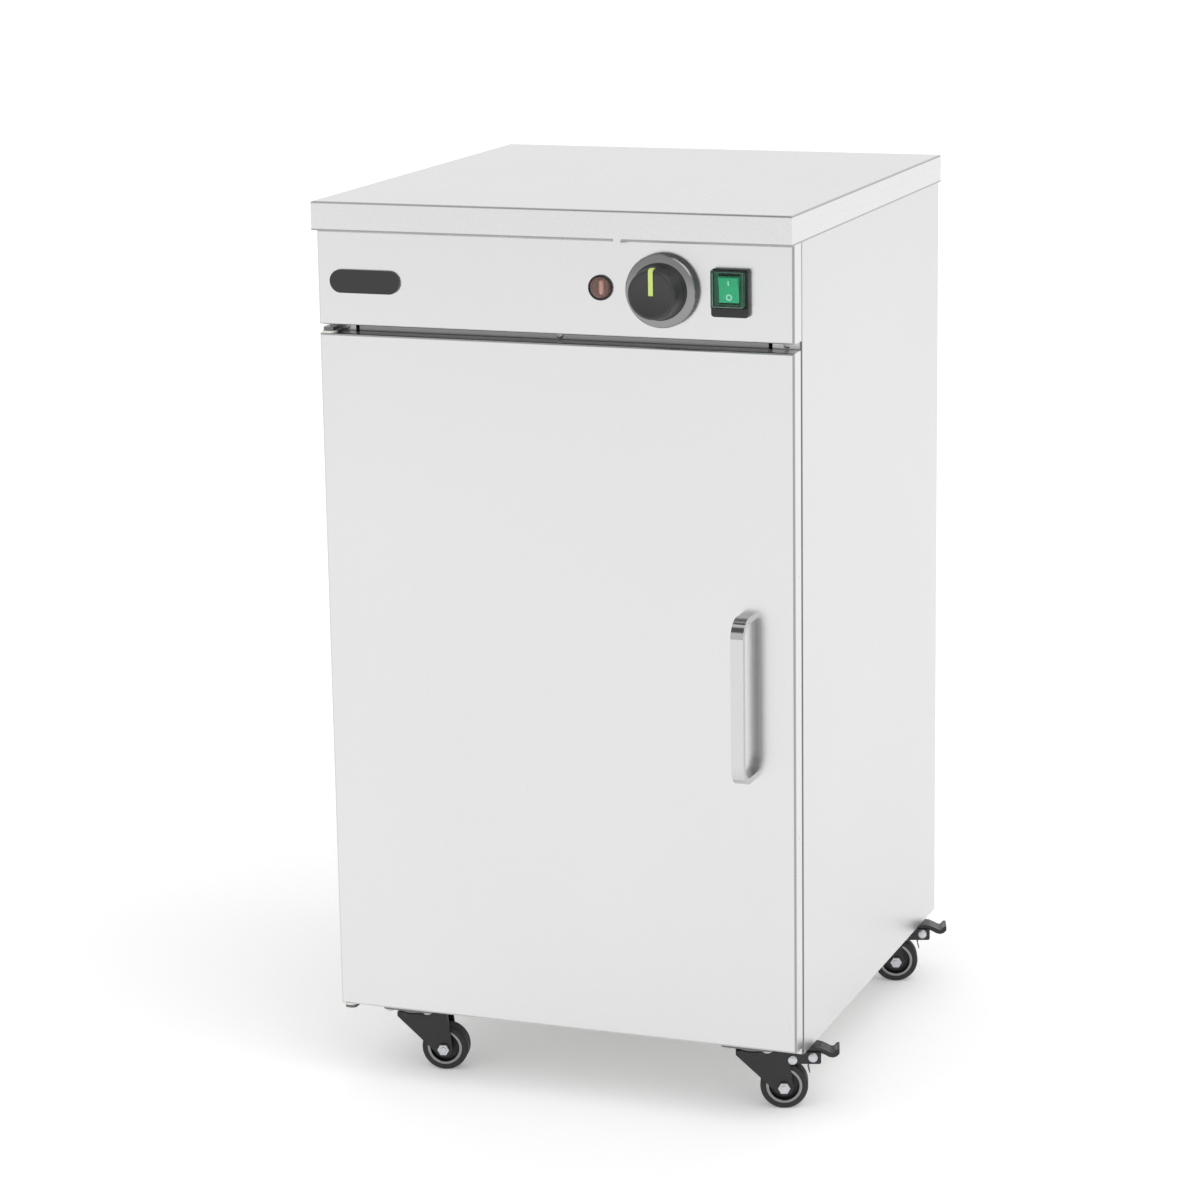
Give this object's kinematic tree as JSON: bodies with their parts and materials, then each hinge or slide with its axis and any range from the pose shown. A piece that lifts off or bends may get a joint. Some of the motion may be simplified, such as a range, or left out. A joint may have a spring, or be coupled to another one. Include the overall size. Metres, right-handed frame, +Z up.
{
  "type": "plate warmer cabinet",
  "caption": "Heated steel cabinet on casters for warming plates: one hinged insulated door, control panel with dial, lamp and covered rocker switch, wire shelves inside.",
  "frame": {"origin": "middle of the whole object's box, on the floor", "axes": "+X to the right seen from the front, +Y to the back, +Z up"},
  "size_m": [0.4708, 0.5052, 0.83],
  "materials": {
    "sheet_steel": "brushed stainless sheet",
    "chamber_steel": "plain stainless sheet",
    "plain_steel": "bright rolled steel",
    "wool": "pressed mineral wool",
    "black_plastic": "matt moulded",
    "grey_plastic": "matt moulded",
    "knob_ring": "turned and satin anodised",
    "knob_grey": "satin moulded",
    "pointer_green": "plain inlay",
    "lamp_glass": "tinted and clear",
    "cover_clear": "clear soft cover",
    "rocker_green": "translucent green",
    "element_steel": "heat-darkened",
    "ceramic": "unglazed",
    "cable_red": "flexible sleeve",
    "wire_chrome": "plated wire",
    "rubber_seal": "soft seal",
    "polished_steel": "polished",
    "nylon": "turned",
    "zinc_steel": "zinc plated",
    "black_steel": "black lacquer",
    "tyre_black": "matt rubber",
    "hub_grey": "moulded",
    "magnet_black": "moulded case"
  },
  "bodies": {
    "cabinet": {"top_cover": "sheet_steel", "side_panel_left": "sheet_steel", "side_panel_right": "sheet_steel", "rear_panel": "sheet_steel", "base_pan": "chamber_steel", "control_panel": "sheet_steel", "front_rail": "sheet_steel", "chamber_liner": "chamber_steel", "insulation_slabs": "wool", "badge_plate": "grey_plastic", "pilot_lamp": "black_plastic", "lamp_lens": "lamp_glass", "thermostat_body": "plain_steel", "knob_bezel": "knob_ring", "switch_housing": "black_plastic", "switch_cover": "cover_clear", "heating_element": "element_steel", "element_brackets": "plain_steel", "element_guard": "chamber_steel", "terminal_block": "ceramic", "safety_cutout": "ceramic", "cable_bush": "black_plastic", "wiring": "cable_red", "shelf_rails": "chamber_steel", "shelf_upper": "wire_chrome", "shelf_lower": "wire_chrome", "hinge_brackets": "plain_steel", "door_magnet": "magnet_black", "body_screws": "zinc_steel", "caster_plates": "zinc_steel"},
    "door": {"door_outer": "sheet_steel", "door_inner": "sheet_steel", "door_insulation": "wool", "door_gasket": "rubber_seal", "door_handle": "polished_steel", "door_fasteners": "zinc_steel", "door_bushes": "nylon", "door_strike": "plain_steel"},
    "knob_body": {"knob": "knob_grey", "knob_pointer": "pointer_green", "thermostat_shaft": "plain_steel"},
    "rocker_body": {"rocker": "rocker_green"},
    "swivel_fl": {"fork_fl": "black_steel", "axle_fl": "zinc_steel"},
    "wheel_fl": {"tyre_fl": "tyre_black", "hub_fl": "hub_grey"},
    "swivel_fr": {"fork_fr": "black_steel", "axle_fr": "zinc_steel"},
    "wheel_fr": {"tyre_fr": "tyre_black", "hub_fr": "hub_grey"},
    "pedal_fr": {"brake_pedal_fr": "black_steel"},
    "swivel_bl": {"fork_bl": "black_steel", "axle_bl": "zinc_steel"},
    "wheel_bl": {"tyre_bl": "tyre_black", "hub_bl": "hub_grey"},
    "swivel_br": {"fork_br": "black_steel", "axle_br": "zinc_steel"},
    "wheel_br": {"tyre_br": "tyre_black", "hub_br": "hub_grey"},
    "pedal_br": {"brake_pedal_br": "black_steel"}
  },
  "joints": [
    {"name": "door_hinge", "type": "hinge", "parent": "cabinet", "child": "door", "pos_m": [-0.22743, -0.21145, 0.3915], "axis": [0, 0, -1], "range_deg": [0, 120]},
    {"name": "knob_turn", "type": "hinge", "parent": "cabinet", "child": "knob_body", "pos_m": [0.09477, -0.21895, 0.761], "axis": [0, 1, 0], "range_deg": [0, 270]},
    {"name": "rocker_tip", "type": "hinge", "parent": "cabinet", "child": "rocker_body", "pos_m": [0.15707, -0.22045, 0.7648], "axis": [-1, 0, 0], "range_deg": [0, 16]},
    {"name": "swivel_fl_turn", "type": "hinge", "parent": "cabinet", "child": "swivel_fl", "pos_m": [-0.17843, -0.17045, 0.057], "axis": [0, 0, 1], "continuous": true},
    {"name": "wheel_fl_roll", "type": "hinge", "parent": "swivel_fl", "child": "wheel_fl", "pos_m": [-0.15134, -0.16518, 0.022], "axis": [-0.1908, 0.9816, 0], "continuous": true},
    {"name": "swivel_fr_turn", "type": "hinge", "parent": "cabinet", "child": "swivel_fr", "pos_m": [0.15757, -0.17045, 0.057], "axis": [0, 0, 1], "continuous": true},
    {"name": "wheel_fr_roll", "type": "hinge", "parent": "swivel_fr", "child": "wheel_fr", "pos_m": [0.18396, -0.16238, 0.022], "axis": [-0.2924, 0.9563, 0], "continuous": true},
    {"name": "pedal_fr_press", "type": "hinge", "parent": "swivel_fr", "child": "pedal_fr", "pos_m": [0.20921, -0.15466, 0.051], "axis": [-0.2924, 0.9563, 0], "range_deg": [0, 12]},
    {"name": "swivel_bl_turn", "type": "hinge", "parent": "cabinet", "child": "swivel_bl", "pos_m": [-0.17843, 0.20135, 0.057], "axis": [0, 0, 1], "continuous": true},
    {"name": "wheel_bl_roll", "type": "hinge", "parent": "swivel_bl", "child": "wheel_bl", "pos_m": [-0.15134, 0.20662, 0.022], "axis": [-0.1908, 0.9816, 0], "continuous": true},
    {"name": "swivel_br_turn", "type": "hinge", "parent": "cabinet", "child": "swivel_br", "pos_m": [0.15757, 0.20135, 0.057], "axis": [0, 0, 1], "continuous": true},
    {"name": "wheel_br_roll", "type": "hinge", "parent": "swivel_br", "child": "wheel_br", "pos_m": [0.18382, 0.20988, 0.022], "axis": [-0.309, 0.9511, 0], "continuous": true},
    {"name": "pedal_br_press", "type": "hinge", "parent": "swivel_br", "child": "pedal_br", "pos_m": [0.20893, 0.21804, 0.051], "axis": [-0.309, 0.9511, 0], "range_deg": [0, 12]}
  ]
}
